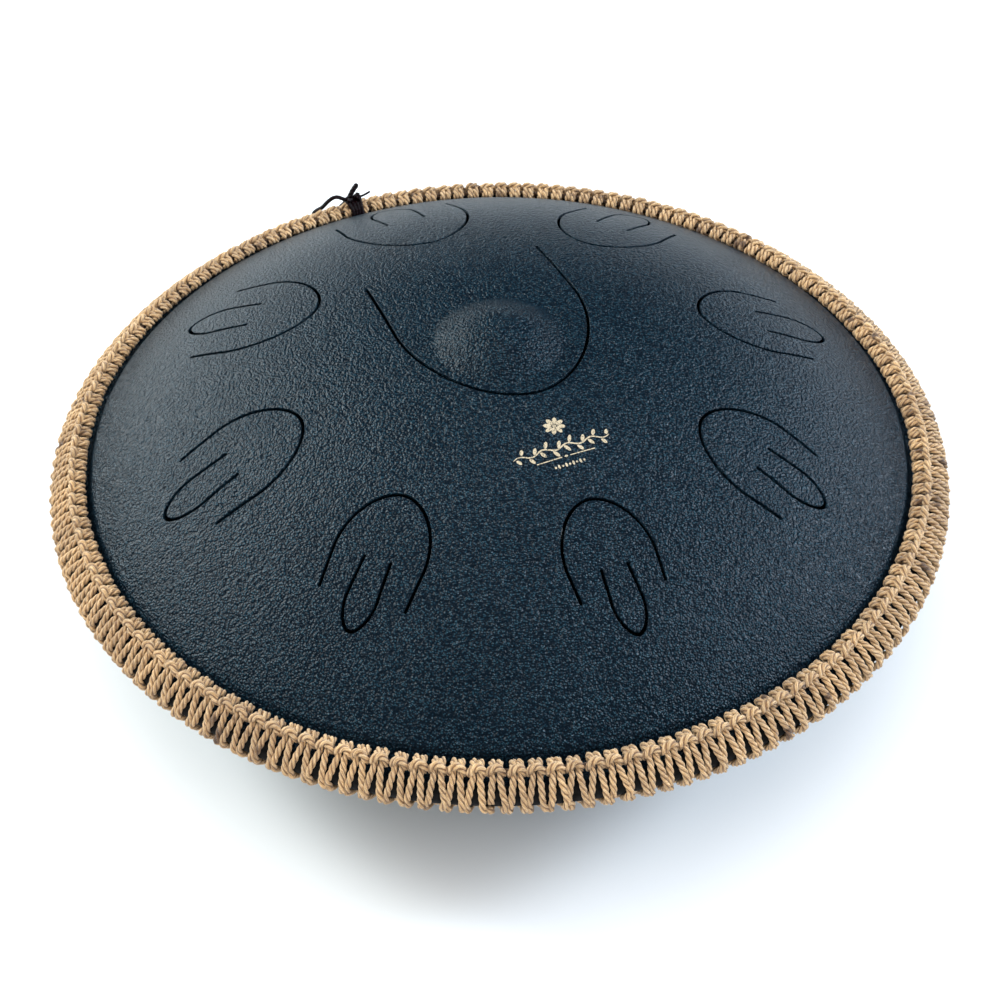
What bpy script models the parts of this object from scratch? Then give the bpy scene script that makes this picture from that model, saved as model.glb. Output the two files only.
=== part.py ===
"""Steel tongue drum of handpan shape: two pressed steel shells joined at their rims, nine tongues
cut in the upper one, a sound port in the lower one, a rubber edge trim, a laced jute rim covering
closed with a brown tie cord, and four screwed-on rubber feet.

The frame is the drum's own: metres, +Z up, the origin on the drum's axis at floor level, and -Y
towards the player. Sizes below are in millimetres and become metres where a mesh is made.
"""
import math

import bmesh
import bpy
from mathutils import Matrix, Vector

MM = 0.001
SEGMENTS = 56            # facets round every large ring, so that nested rings keep their gaps
FOOT_SEGMENTS, FASTENER_SEGMENTS, CORE_SEGMENTS = 20, 12, 8
GAP = 0.3                # clearance between touching pieces
FACET_GAP = 0.65         # the same where a straight piece lies along a faceted ring

# The rim's middle plane, and the shells' shared outline measured from it
MID_Z = 77.5             # height of the middle plane above the floor
KNEE_R, KNEE_Z = 182.5, 8.0      # where the crowned wall meets the rim's fold
CROWN_Z = 68.5           # height of the wall's surface on the axis
CROWN_POWER = 2.36       # how full the crown is: 2 would be a parabola
FLANGE_IN_R, FLANGE_R = 190.0, 194.3
FLANGE_Z = 2.1           # outer face of each flange
SHEET = 1.5              # steel thickness
LOWER_RADII = (62, 88, 112, 136, 160, KNEE_R)        # where the wall's outline bends
UPPER_RADII = (0, 7, 13, 19, 25, 31, 38) + LOWER_RADII

# Dome pressed in the centre tongue
DOME_X, DOME_Y = 0.2, -5.5
DOME_R = 28.0
DOME_H = 9.0
DOME_POWER = 1.4         # how steeply its side runs into the wall

# Sound port in the lower shell
PORT_R = 38.0
PORT_LIP = 5.0           # radius of the roll into the neck
PORT_ROLL = (30, 60, 90)         # degrees through the roll at which its outline bends
NECK_LENGTH = 12.0

# Tongues: azimuth in degrees, half-width, tip radius, outer end radius, and the inner
# octave slot's half-width, tip radius and end radius
SLOT = 1.2
TONGUES = (
    (247.0, 19.4, 95.0, 136.5, 6.5, 149.0, 122.0),
    (291.2, 18.8, 96.0, 133.0, 6.5, 149.0, 124.0),
    (333.2, 21.9, 94.0, 138.5, 7.3, 150.5, 122.0),
    (16.7, 22.2, 92.5, 139.0, 8.1, 154.5, 123.0),
    (62.6, 24.7, 85.0, 138.0, 8.9, 153.0, 117.0),
    (112.1, 29.3, 80.5, 138.0, 10.2, 153.0, 117.0),
    (161.1, 25.9, 84.5, 136.0, 8.7, 149.0, 116.0),
    (207.2, 21.8, 92.3, 139.5, 7.6, 155.0, 124.0),
)
ARCH_POWER = 1.85        # superelliptic round of every tongue's tip
ARCH_ASPECT = 1.3        # length of that round over its half-width
OCTAVE_ASPECT = 1.8
TONGUE_STEPS, OCTAVE_STEPS, CENTRE_STEPS = 12, 8, 18     # straight pieces round each slot's tip
TAPER = 0.9              # how much a slot's legs close in towards their ends

# Centre tongue: its axis's azimuth, the axis's offset from the drum's, and places along it
CENTRE_AZIMUTH, CENTRE_OFFSET = 292.5, 0.8
CENTRE_HALF, CENTRE_TIP, CENTRE_SHOULDER, CENTRE_END = 41.8, 41.0, -15.0, -55.5

# Rim: rubber edge trim, core cords and the jute lacing round them, as (radius, height) outlines
TRIM_OUTSIDE = ((190.4, 3.8), (192.6, 3.8), (194.6, 3.0), (196.3, 1.6), (197.0, 0.0))
TRIM_IN_R = TRIM_OUTSIDE[0][0]
ADHESIVE_IN_R, ADHESIVE_R = 191.0, 193.7
CORE_R, CORE_Z, CORE_CORD = 187.0, 8.2, 1.2
LACING_OUTSIDE = (
    (183.0, 8.4), (183.9, 11.0), (186.6, 12.3), (189.8, 11.2), (196.6, 4.5), (199.2, 2.0),
    (200.0, 0.0),
)
LACING_INSIDE = (
    (185.3, 6.9), (185.4, 9.0), (187.0, 10.0), (189.1, 9.0), (193.2, 4.4), (196.8, 1.9),
    (197.4, 0.5),
)

# Tie cord: a lashing over the lacing, a knot on top of it and three ends
TIE_AZIMUTH = 113.3
LASHING_WIDTH, LASHING_WALL = 9.6, 1.6
KNOT_SIZE = (9.0, 6.4, 2.6)      # along the rim, across it, and high
KNOT_R = 187.4
LONG_END_D, SHORT_END_D, THIN_END_D = 2.2, 2.8, 1.2
# Each end's route as (azimuth, radius, height above the middle plane)
LONG_END = (
    (114.9, 187.6, 16.2), (115.7, 188.2, 18.0), (116.6, 188.9, 18.0), (117.4, 190.2, 15.4),
    (118.1, 193.2, 10.8), (118.6, 197.4, 6.8), (118.8, 200.9, 2.6), (118.9, 202.2, -3.0),
    (118.9, 202.4, -9.5),
)
SHORT_END = ((113.2, 187.6, 18.0), (113.0, 188.0, 19.8), (112.6, 188.9, 22.6))
THIN_END = ((111.6, 187.6, 15.7), (111.0, 187.9, 16.2), (110.1, 188.4, 17.2))
TAIL_SAMPLES = 4         # points a stretch of the smooth route is given

# Feet: rubber bumpers screwed on square to the wall, with level soles
FOOT_COUNT, FOOT_AZIMUTH, FOOT_RING_R = 4, 45.0, 72.0
FOOT_TOP_R, FOOT_SOLE_R = 11.0, 10.0
FOOT_GRIP = 8.4          # rubber between the wall and the screw's head
RECESS_R = 4.6
SCREW_R, HEAD_R, HEAD_H = 2.0, 3.8, 2.4
HEAD_FLAT_R, HEAD_RIM_H = 2.66, 1.44     # flat middle of the head, and its cylindrical rim
SCREW_HOLE_R = 2.35
SCREW_END = 1.0          # thread standing beyond the nut
DRILL_REACH = 9.0        # half the length of the tool that makes a screw hole
WASHER_R, WASHER_H = 4.5, 0.8
NUT_R, NUT_BORE_R, NUT_H = 4.04, 2.7, 3.2
CURVE_CLEARANCE = 0.25   # extra gap where a flat piece meets the wall's curve
FLOOR_DEPTH = 20.0       # thickness of the block that levels the soles


def crown_z(r):
    """Height of the upper shell's wall above the middle plane at radius r."""
    return KNEE_Z + (CROWN_Z - KNEE_Z) * (1 - (r / KNEE_R) ** CROWN_POWER)


def crown_slope(r):
    """Fall of the wall per millimetre outwards at radius r."""
    rise = CROWN_Z - KNEE_Z
    return rise * CROWN_POWER / KNEE_R * (r / KNEE_R) ** (CROWN_POWER - 1)


def dome_z(x, y):
    """How far the pressed dome stands above the crown at a point of the plan."""
    s = math.hypot(x - DOME_X, y - DOME_Y) / DOME_R
    return DOME_H * (1 - s * s) ** DOME_POWER if s < 1 else 0.0


def material(name, colour, roughness, metallic=0.0):
    m = bpy.data.materials.new(name)
    m.use_nodes = True
    shader = m.node_tree.nodes["Principled BSDF"]
    shader.inputs["Base Color"].default_value = (*colour, 1.0)
    shader.inputs["Roughness"].default_value = roughness
    shader.inputs["Metallic"].default_value = metallic
    m.diffuse_color = (*colour, 1.0)
    return m


def new_object(name, mesh, group, finish=None):
    ob = bpy.data.objects.new(name, mesh)
    group.objects.link(ob)
    if finish:
        ob.data.materials.append(finish)
    return ob


def evaluated_mesh(ob):
    depsgraph = bpy.context.evaluated_depsgraph_get()
    return bpy.data.meshes.new_from_object(ob.evaluated_get(depsgraph))


def turned(name, profile, group, finish=None, steps=SEGMENTS, closed=True):
    """A profile of (radius, height) in millimetres, turned about the object's own Z."""
    mesh = bpy.data.meshes.new(name)
    edges = [(i, i + 1) for i in range(len(profile) - 1)]
    if closed:
        edges.append((len(profile) - 1, 0))
    mesh.from_pydata([(r * MM, 0, z * MM) for r, z in profile], edges, [])
    ob = new_object(name, mesh, group, finish)
    screw = ob.modifiers.new("Turn", "SCREW")
    screw.angle = math.tau
    screw.steps = screw.render_steps = steps
    screw.use_merge_vertices = True
    screw.merge_threshold = 0.00001
    return ob


def bake(ob):
    """Replace an object's mesh with what its modifiers make of it."""
    mesh = evaluated_mesh(ob)
    ob.modifiers.clear()
    ob.data = mesh
    mesh.name = ob.name


def offset(points, distance):
    """A polyline moved sideways, to the right of its direction, with mitred corners."""
    normals = []
    for (r0, z0), (r1, z1) in zip(points, points[1:]):
        length = math.hypot(r1 - r0, z1 - z0)
        normals.append(((z1 - z0) / length, -(r1 - r0) / length))
    moved = []
    for i, (r, z) in enumerate(points):
        a, b = normals[max(i - 1, 0)], normals[min(i, len(normals) - 1)]
        scale = distance / (1 + a[0] * b[0] + a[1] * b[1])
        moved.append((r + (a[0] + b[0]) * scale if r else 0.0, z + (a[1] + b[1]) * scale))
    return moved


def flat_outline(name, points, half_depth, group, finish=None):
    """A closed outline in the object's XY plane, filled and extruded both ways, as a mesh."""
    curve = bpy.data.curves.new(name, "CURVE")
    curve.dimensions = "2D"
    curve.fill_mode = "BOTH"
    curve.extrude = half_depth * MM
    spline = curve.splines.new("POLY")
    spline.points.add(len(points) - 1)
    for point, (x, y) in zip(spline.points, points):
        point.co = (x * MM, y * MM, 0, 1)
    spline.use_cyclic_u = True
    return curve_to_mesh(name, curve, group, finish)


def curve_to_mesh(name, curve, group, finish):
    """The curve's evaluated surface, with its loose caps welded on."""
    guide = bpy.data.objects.new(name + "_curve", curve)
    group.objects.link(guide)
    mesh = evaluated_mesh(guide)
    bpy.data.objects.remove(guide)
    bpy.data.curves.remove(curve)
    bm = bmesh.new()
    bm.from_mesh(mesh)
    bmesh.ops.remove_doubles(bm, verts=bm.verts, dist=0.000001)
    bmesh.ops.recalc_face_normals(bm, faces=bm.faces)
    bm.to_mesh(mesh)
    bm.free()
    mesh.name = name
    return new_object(name, mesh, group, finish)


def smooth(ob, degrees=40):
    ob.data.shade_smooth()
    ob.data.set_sharp_from_angle(angle=math.radians(degrees))
    return ob


def boolean(ob, cutter):
    cut = ob.modifiers.new("Cut", "BOOLEAN")
    cut.operation = "DIFFERENCE"
    cut.solver = "EXACT"
    cut.object = cutter


def hide_cutter(ob):
    ob.hide_render = True
    ob.display_type = "WIRE"
    return ob


# Slots

def arch(half, shoulder, tip, end, steps):
    """Centreline of a U-shaped slot: legs from end to shoulder, then a round to the tip."""
    line = [(half - TAPER, end)]
    for i in range(steps + 1):
        a = math.pi * i / steps
        across = math.copysign(abs(math.cos(a)) ** (2 / ARCH_POWER), math.cos(a))
        along = math.sin(a) ** (2 / ARCH_POWER)
        line.append((half * across, shoulder + (tip - shoulder) * along))
    return line + [(TAPER - half, end)]


def ribbon(line, width):
    """The outline of a strip of that width along a centreline, with pointed round ends."""
    right = offset(line, width / 2)
    left = offset(line, -width / 2)
    caps = []
    for (x0, y0), (x1, y1) in ((line[-2], line[-1]), (line[1], line[0])):
        length = math.hypot(x1 - x0, y1 - y0)
        caps.append((x1 + (x1 - x0) / length * width / 2, y1 + (y1 - y0) / length * width / 2))
    return right + [caps[0]] + left[::-1] + [caps[1]]


def slot_cutter(name, line, azimuth, group):
    """A slot in the plan, its line given as (across, along) the direction of azimuth."""
    a = math.radians(azimuth)
    along, across = (math.cos(a), math.sin(a)), (-math.sin(a), math.cos(a))
    points = [(t * across[0] + d * along[0], t * across[1] + d * along[1])
              for t, d in ribbon(line, SLOT)]
    height = CROWN_Z + DOME_H
    ob = flat_outline(name, points, height / 2, group)
    ob.location.z = (MID_Z + height / 2 + FLANGE_Z + GAP) * MM
    return hide_cutter(ob)


def slot_cutters(group):
    made = []
    for i, (azimuth, half, tip, end, in_half, in_tip, in_end) in enumerate(TONGUES, 1):
        shoulder = tip + ARCH_ASPECT * half
        line = arch(half, shoulder, tip, end, TONGUE_STEPS)
        made.append(slot_cutter(f"tongue_slot_{i}", line, azimuth, group))
        shoulder = in_tip - OCTAVE_ASPECT * in_half
        line = arch(in_half, shoulder, in_tip, in_end, OCTAVE_STEPS)
        made.append(slot_cutter(f"octave_slot_{i}", line, azimuth, group))
    line = arch(CENTRE_HALF, CENTRE_SHOULDER, CENTRE_TIP, CENTRE_END, CENTRE_STEPS)
    line = [(t + CENTRE_OFFSET, d) for t, d in line]
    made.append(slot_cutter("centre_slot", line, CENTRE_AZIMUTH, group))
    return made


# Shells

def shell_outline(radii):
    """The shell's outer surface from its middle to the flange's edge, above the middle plane."""
    return [(r, crown_z(r)) for r in radii] + [(FLANGE_IN_R, FLANGE_Z), (FLANGE_R, FLANGE_Z)]


def top_shell(group, cutters, finish):
    outer = shell_outline(UPPER_RADII)
    inner = offset(outer, SHEET)
    ob = turned("top_shell", outer + inner[::-1], group, finish, closed=False)
    bake(ob)
    for v in ob.data.vertices:
        v.co.z += dome_z(v.co.x / MM, v.co.y / MM) * MM
    ob.location.z = MID_Z * MM
    for cutter in slot_cutters(cutters):
        boolean(ob, cutter)
    return smooth(ob)


def bottom_shell(group, cutters, finish):
    lip_r = PORT_R + PORT_LIP
    wall = [(r, -z) for r, z in shell_outline((lip_r, *LOWER_RADII))][::-1]
    lip_z = -crown_z(lip_r) + PORT_LIP
    roll = [(lip_r - PORT_LIP * math.sin(a), lip_z - PORT_LIP * math.cos(a))
            for a in map(math.radians, PORT_ROLL)]
    neck = [(PORT_R, lip_z + NECK_LENGTH)]
    outer = wall + roll + neck
    inner = offset(outer, SHEET)
    ob = turned("bottom_shell", inner[::-1] + outer, group, finish)
    ob.location.z = MID_Z * MM
    bake(ob)
    side = [(SCREW_HOLE_R, DRILL_REACH), (SCREW_HOLE_R, -DRILL_REACH)]
    drill_outline = [(0, DRILL_REACH)] + side + [(0, -DRILL_REACH)]
    for i in range(FOOT_COUNT):
        drill = turned(f"foot_screw_hole_{i + 1}", drill_outline, cutters,
                       steps=FASTENER_SEGMENTS, closed=False)
        bake(drill)
        drill.matrix_world = foot_frame(i)
        boolean(ob, hide_cutter(drill))
    return smooth(ob)


# Rim

def rim_adhesive(group, finish):
    r0, r1, z = ADHESIVE_IN_R, ADHESIVE_R, FLANGE_Z - SHEET - GAP
    ob = turned("rim_adhesive", [(r0, z), (r1, z), (r1, -z), (r0, -z)], group, finish)
    ob.location.z = MID_Z * MM
    return smooth(ob)


def mirrored(outline):
    """An outline above the middle plane, and the same below it in the opposite order."""
    return list(outline) + [(r, -z) for r, z in outline[::-1] if z]


def rim_trim(group, finish):
    """A U-shaped rubber edge trim with a rounded nose, open towards the drum's axis."""
    leg, web = FLANGE_Z + GAP, FLANGE_R + GAP
    inside = [(TRIM_IN_R, -leg), (web, -leg), (web, leg), (TRIM_IN_R, leg)]
    ob = turned("rim_trim", mirrored(TRIM_OUTSIDE) + inside, group, finish)
    ob.location.z = MID_Z * MM
    return smooth(ob)


def core_cord(name, side, group, finish):
    ring = [(CORE_R + CORE_CORD * math.cos(a), side * CORE_Z - CORE_CORD * math.sin(a))
            for a in (math.tau * i / CORE_SEGMENTS for i in range(CORE_SEGMENTS))]
    ob = turned(name, ring, group, finish)
    ob.location.z = MID_Z * MM
    return smooth(ob, 60)


def lacing_cord(group, finish):
    """The outer shape of the knotted twine: a C-section round the trim and the core cords."""
    profile = mirrored(LACING_OUTSIDE) + mirrored(LACING_INSIDE)[::-1]
    ob = turned("lacing_cord", profile, group, finish)
    ob.location.z = MID_Z * MM
    return smooth(ob)


# Tie cord

def rim_point(azimuth, r, z):
    """A point given as (azimuth, radius, height above the middle plane), in metres."""
    a = math.radians(azimuth)
    return Vector((r * math.cos(a) * MM, r * math.sin(a) * MM, (MID_Z + z) * MM))


def rim_frame(azimuth, r, z):
    """A frame at a point of the rim: X outwards, Y up, Z along the rim."""
    a = math.radians(azimuth)
    outwards = Vector((math.cos(a), math.sin(a), 0))
    up = Vector((0, 0, 1))
    frame = Matrix((outwards, up, outwards.cross(up))).transposed().to_4x4()
    return Matrix.Translation(rim_point(azimuth, r, z)) @ frame


def tie_lashing(group, finish):
    """Turns of brown cord side by side round the lacing, as one C-shaped band."""
    arc = mirrored(LACING_OUTSIDE)
    near = offset(arc, -FACET_GAP)
    far = offset(arc, -FACET_GAP - LASHING_WALL)
    outline = [(r - CORE_R, z) for r, z in far + near[::-1]]
    ob = flat_outline("tie_lashing", outline, LASHING_WIDTH / 2, group, finish)
    ob.matrix_world = rim_frame(TIE_AZIMUTH, CORE_R, 0)
    return smooth(ob)


def tie_knot(group, finish):
    bm = bmesh.new()
    bmesh.ops.create_uvsphere(bm, u_segments=14, v_segments=8, radius=0.5 * MM)
    along, across, high = KNOT_SIZE
    bmesh.ops.scale(bm, vec=(across, high, along), verts=bm.verts)
    mesh = bpy.data.meshes.new("tie_knot")
    bm.to_mesh(mesh)
    bm.free()
    ob = new_object("tie_knot", mesh, group, finish)
    base = max(z for r, z in LACING_OUTSIDE) + FACET_GAP + LASHING_WALL + GAP
    ob.matrix_world = rim_frame(TIE_AZIMUTH, KNOT_R, base + high / 2)
    return smooth(ob, 60)


def smooth_route(points):
    """Catmull-Rom points through a route."""
    ends = [2 * points[0] - points[1]] + points + [2 * points[-1] - points[-2]]
    route = []
    for a, b, c, d in zip(ends, ends[1:], ends[2:], ends[3:]):
        for i in range(TAIL_SAMPLES):
            t = i / TAIL_SAMPLES
            route.append(0.5 * (2 * b + (c - a) * t + (2 * a - 5 * b + 4 * c - d) * t ** 2
                                + (3 * b - a - 3 * c + d) * t ** 3))
    return route + [points[-1]]


def tie_end(name, route, diameter, group, finish):
    points = smooth_route([rim_point(*p) for p in route])
    curve = bpy.data.curves.new(name, "CURVE")
    curve.dimensions = "3D"
    curve.bevel_depth = diameter / 2 * MM
    curve.bevel_resolution = 2
    curve.use_fill_caps = True
    step = max(1, round(2 * diameter * MM / (points[1] - points[0]).length))
    kept = points[:-1:step] + [points[-1]]
    spline = curve.splines.new("POLY")
    spline.points.add(len(kept) - 1)
    for point, place in zip(spline.points, kept):
        point.co = (*place, 1)
    return smooth(curve_to_mesh(name, curve, group, finish), 60)


# Feet

def foot_frame(i):
    """A frame on the lower shell's outer face: Z square to the wall, into the drum."""
    azimuth = math.radians(FOOT_AZIMUTH + 360 / FOOT_COUNT * i)
    lean = math.atan(crown_slope(FOOT_RING_R))
    place = Vector((FOOT_RING_R * MM, 0, (MID_Z - crown_z(FOOT_RING_R)) * MM))
    return (Matrix.Rotation(azimuth, 4, "Z") @ Matrix.Translation(place)
            @ Matrix.Rotation(-lean, 4, "Y"))


def floor_cutter(cutters):
    """The space below the floor plane, which levels the feet's soles."""
    size = 2 * (FOOT_RING_R + 3 * FOOT_TOP_R) * MM
    depth = FLOOR_DEPTH * MM
    bm = bmesh.new()
    bmesh.ops.create_cube(bm, size=1.0)
    bmesh.ops.scale(bm, vec=(size, size, depth), verts=bm.verts)
    bmesh.ops.translate(bm, vec=(0, 0, -depth / 2), verts=bm.verts)
    mesh = bpy.data.meshes.new("floor_cutter")
    bm.to_mesh(mesh)
    bm.free()
    return hide_cutter(new_object("floor_cutter", mesh, cutters))


def tube_outline(bore, radius, base, height):
    """Half the section of a short tube: a washer's, or a nut's."""
    return [(radius, base + height), (radius, base), (bore, base), (bore, base + height)]


def foot(i, group, floor, finishes):
    frame = foot_frame(i)
    rubber, steel = finishes
    top = -GAP - CURVE_CLEARANCE
    lean = math.atan(crown_slope(FOOT_RING_R))
    reach = (MID_Z - crown_z(FOOT_RING_R)) / math.cos(lean) + FOOT_TOP_R * math.tan(lean) + 1
    recess = top - FOOT_GRIP
    outside = [(FOOT_TOP_R, top), (FOOT_SOLE_R, -reach)]
    inside = [(RECESS_R, -reach), (RECESS_R, recess), (SCREW_HOLE_R, recess), (SCREW_HOLE_R, top)]
    bumper = turned(f"foot_{i + 1}", outside + inside, group, rubber, steps=FOOT_SEGMENTS)
    bake(bumper)

    head = recess - GAP
    washer = SHEET + GAP + CURVE_CLEARANCE
    nut = washer + WASHER_H + GAP
    tip = nut + NUT_H + SCREW_END
    shank = [(0, tip), (SCREW_R, tip), (SCREW_R, head), (HEAD_R, head)]
    crown = [(HEAD_R, head - HEAD_RIM_H), (HEAD_FLAT_R, head - HEAD_H), (0, head - HEAD_H)]
    screw = turned(f"foot_screw_{i + 1}", shank + crown, group, steel, steps=FASTENER_SEGMENTS,
                   closed=False)
    outline = tube_outline(SCREW_HOLE_R, WASHER_R, washer, WASHER_H)
    ring = turned(f"foot_washer_{i + 1}", outline, group, steel, steps=FASTENER_SEGMENTS)
    outline = tube_outline(NUT_BORE_R, NUT_R, nut, NUT_H)
    hexagon = turned(f"foot_nut_{i + 1}", outline, group, steel, steps=6)
    for piece in (bumper, screw, ring, hexagon):
        piece.matrix_world = frame
        smooth(piece)
    boolean(bumper, floor)


def main():
    for ob in list(bpy.data.objects):
        bpy.data.objects.remove(ob)
    drum = bpy.data.collections.new("tongue_drum")
    cutters = bpy.data.collections.new("cutters")
    for group in (drum, cutters):
        bpy.context.scene.collection.children.link(group)

    navy = (0.032, 0.060, 0.085)
    tan = (0.55, 0.36, 0.18)
    brown = (0.035, 0.018, 0.014)
    black = (0.012, 0.012, 0.012)
    steel = (0.60, 0.60, 0.60)
    top_shell(drum, cutters, material("top_shell_enamel", navy, 0.45, 0.2))
    bottom_shell(drum, cutters, material("bottom_shell_enamel", navy, 0.45, 0.2))
    rim_adhesive(drum, material("adhesive", (0.10, 0.10, 0.10), 0.5))
    rim_trim(drum, material("trim_rubber", black, 0.6))
    core_cord("upper_core_cord", 1, drum, material("upper_core_jute", tan, 0.9))
    core_cord("lower_core_cord", -1, drum, material("lower_core_jute", tan, 0.9))
    lacing_cord(drum, material("lacing_jute", tan, 0.9))
    tie_lashing(drum, material("lashing_brown", brown, 0.5))
    tie_knot(drum, material("knot_brown", brown, 0.5))
    tie_brown = material("tie_brown", brown, 0.5)
    tie_end("tie_end_long", LONG_END, LONG_END_D, drum, tie_brown)
    tie_end("tie_end_short", SHORT_END, SHORT_END_D, drum, tie_brown)
    tie_end("tie_end_thin", THIN_END, THIN_END_D, drum, tie_brown)

    floor = floor_cutter(cutters)
    finishes = (material("foot_rubber", black, 0.7), material("fastener_steel", steel, 0.35, 1.0))
    for i in range(FOOT_COUNT):
        foot(i, drum, floor, finishes)


main()
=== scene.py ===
"""The looks of the steel tongue drum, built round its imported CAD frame.

Enamelled steel shells with rounded slot edges, a rubber edge trim, a jute lacing modelled as the
one long three-ply twine that it is, its brown tie cord, rubber feet and their fasteners.

The frame is the drum's own: +Z up, the origin on the drum's axis at floor level, -Y towards the
player. Lengths are in millimetres and become metres where a mesh is made. Heights named "above
mid" are measured from the rim's middle plane.
"""
import math

import bmesh
import bpy
import numpy as np
from mathutils import Matrix, Vector
from mathutils.geometry import delaunay_2d_cdt


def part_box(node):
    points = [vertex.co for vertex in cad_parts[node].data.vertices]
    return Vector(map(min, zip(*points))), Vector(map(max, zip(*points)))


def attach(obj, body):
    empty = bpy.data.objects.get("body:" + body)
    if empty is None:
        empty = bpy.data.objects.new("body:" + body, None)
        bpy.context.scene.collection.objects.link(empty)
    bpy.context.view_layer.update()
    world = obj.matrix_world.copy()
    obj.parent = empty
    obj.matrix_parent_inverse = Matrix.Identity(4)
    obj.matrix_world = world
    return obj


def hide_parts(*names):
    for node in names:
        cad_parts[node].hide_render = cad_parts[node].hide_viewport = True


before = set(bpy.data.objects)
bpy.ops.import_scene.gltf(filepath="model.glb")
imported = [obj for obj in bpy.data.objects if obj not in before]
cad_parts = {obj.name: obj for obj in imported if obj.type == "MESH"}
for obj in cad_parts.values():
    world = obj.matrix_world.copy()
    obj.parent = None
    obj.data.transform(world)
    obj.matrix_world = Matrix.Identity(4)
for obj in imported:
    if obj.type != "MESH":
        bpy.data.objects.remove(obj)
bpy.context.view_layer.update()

MM = 0.001
RNG = np.random.default_rng(17)

# From the frame
MID_Z = (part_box("rim_adhesive")[0].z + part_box("rim_adhesive")[1].z) / 2 / MM

# Shells: the CAD's crown and flanges. The dome is steeper here, the slots wider, the wall turns
# down into a groove under the rope, and the port's neck draws in where the CAD's is straight.
KNEE_R, KNEE_Z = 182.5, 8.0      # where the crowned wall meets the rim's fold
CROWN_Z = 68.5                   # height of the wall on the axis, above mid
CROWN_POWER = 2.36
FLANGE_R, FLANGE_Z = 194.3, 2.1
FOLD_R, FOLD_SLOPE = 179.8, 2.6  # where the wall turns down into the groove under the rope
FOLD = 0.8                       # softness of the bends at both ends of that turn
EDGE_RADII = (*np.arange(178.0, 184.6, 0.5), *np.arange(185.5, 194, 1.5))
SHEET = 1.5
DOME_X, DOME_Y, DOME_R, DOME_H = 0.2, -5.5, 28.0, 9.0
DOME_POWER = 1.15                # how steeply the dome runs into the wall
PORT_R, PORT_LIP, NECK_R, NECK_LENGTH = 38.0, 5.0, 29.5, 12.0
ROUND_STEPS = 300                # facets round a large turned piece

# Slots: each tongue's azimuth, half-width, tip radius and outer end radius, then the same three
# lengths of its inner octave slot
TONGUES = (
    (247.0, 19.4, 95.0, 136.5, 6.5, 149.0, 122.0),
    (291.2, 18.8, 96.0, 133.0, 6.5, 149.0, 124.0),
    (333.2, 21.9, 94.0, 138.5, 7.3, 150.5, 122.0),
    (16.7, 22.2, 92.5, 139.0, 8.1, 154.5, 123.0),
    (62.6, 24.7, 85.0, 138.0, 8.9, 153.0, 117.0),
    (112.1, 29.3, 80.5, 138.0, 10.2, 153.0, 117.0),
    (161.1, 25.9, 84.5, 136.0, 8.7, 149.0, 116.0),
    (207.2, 21.8, 92.3, 139.5, 7.6, 155.0, 124.0),
)
ARCH_POWER, ARCH_ASPECT, OCTAVE_ASPECT, TAPER = 1.85, 1.3, 1.8, 0.9
CENTRE_AZIMUTH, CENTRE_OFFSET = 292.5, 0.8
CENTRE_HALF, CENTRE_TIP, CENTRE_SHOULDER, CENTRE_END = 41.8, 41.0, -15.0, -55.5
SLOT = 1.35
SLOT_EDGE = 0.3                  # radius of the enamel's roll over a slot's edge
SLOT_STEP = 1.1

# Printed ornament: its middle in the plan, then lengths and places in its own frame
EMBLEM_CENTRE = (25.0, -66.0)
EMBLEM_WIDTH, EMBLEM_RULE = 42.0, 25.5
EMBLEM_ROSETTE, EMBLEM_RULE_V, EMBLEM_DOTS_V = (1.3, 10.4), -4.8, -8.6
EMBLEM_FILM = 0.05
PETALS, LEAVES, DOTS, VINE_WAVE = 8, 16, 9, 0.9

# Rim: a twine of three plies knotted to and fro over two core cords, round the edge trim
TRIM_OUTSIDE = ((190.7, 3.7), (192.6, 3.7), (194.4, 2.9), (195.9, 1.6), (196.4, 0.0))
CORE_R, CORE_Z, CORE_CORD, CORE_PITCH, CORE_STEPS = 187.0, 8.2, 1.2, 4.5, 1500
UNITS = 160                      # knots round the upper core cord, and as many round the lower
FIRST_KNOT = 269.6               # azimuth of one of the upper knots
TWINE_R = 1.42
TWINE_PITCH = -9.0               # length of one full turn of the plies, which is left-handed
TWINE_STEP = 0.7
END_TAPER = (0.45, 0.8, 0.95)    # a cut end's first radii, as shares of the cord's
LACING_ARCS = 8                  # the lacing is written out as this many pieces
# Half of an upper knot, from the rim's nose up to the middle of the bar that crosses its front:
# (along the rim from the knot's middle, radius, height above mid, share of the twine's thickness)
KNOT = np.array((
    (-2.70, 197.8, 1.7, 1.0),
    (-2.25, 195.5, 4.3, 1.0),
    (-1.75, 192.9, 6.7, 1.0),
    (-1.38, 190.9, 7.9, 0.95),
    (-1.30, 188.8, 9.2, 0.85),
    (-1.30, 186.8, 10.3, 1.06),
    (-1.32, 184.9, 9.9, 1.12),
    (-1.34, 183.6, 8.9, 1.08),
    (-1.60, 184.9, 7.3, 0.7),
    (-1.90, 187.0, 5.7, 0.55),
    (-2.50, 188.0, 6.5, 0.6),
    (-2.85, 188.7, 8.4, 0.8),
    (-2.40, 188.8, 10.2, 1.05),
    (-1.30, 188.3, 11.3, 1.2),
    (0.0, 188.0, 11.5, 1.25),
))
BAR = slice(12, -12)              # the points of a whole knot that lie along its bar
LEG_SWAY = np.array((1.0, 0.7, 0.35, 0.1))   # how much of a leg's wandering each point takes
LEG_BULGE = np.array(((0.5, 1.2), (0.9, 0.9), (0.5, 0.7)))     # outwards and upwards, where slack
SLACKEST = 35.0                  # azimuth at which the legs lie loosest
LOOSEST, KNOT_SWELL = 52.0, 0.26  # azimuth of the loosest knots, and how much larger they are
LOWER_LEG = (-0.95, -1.10, -1.25, -1.35)     # how far the first points are along, on a lower knot
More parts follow.
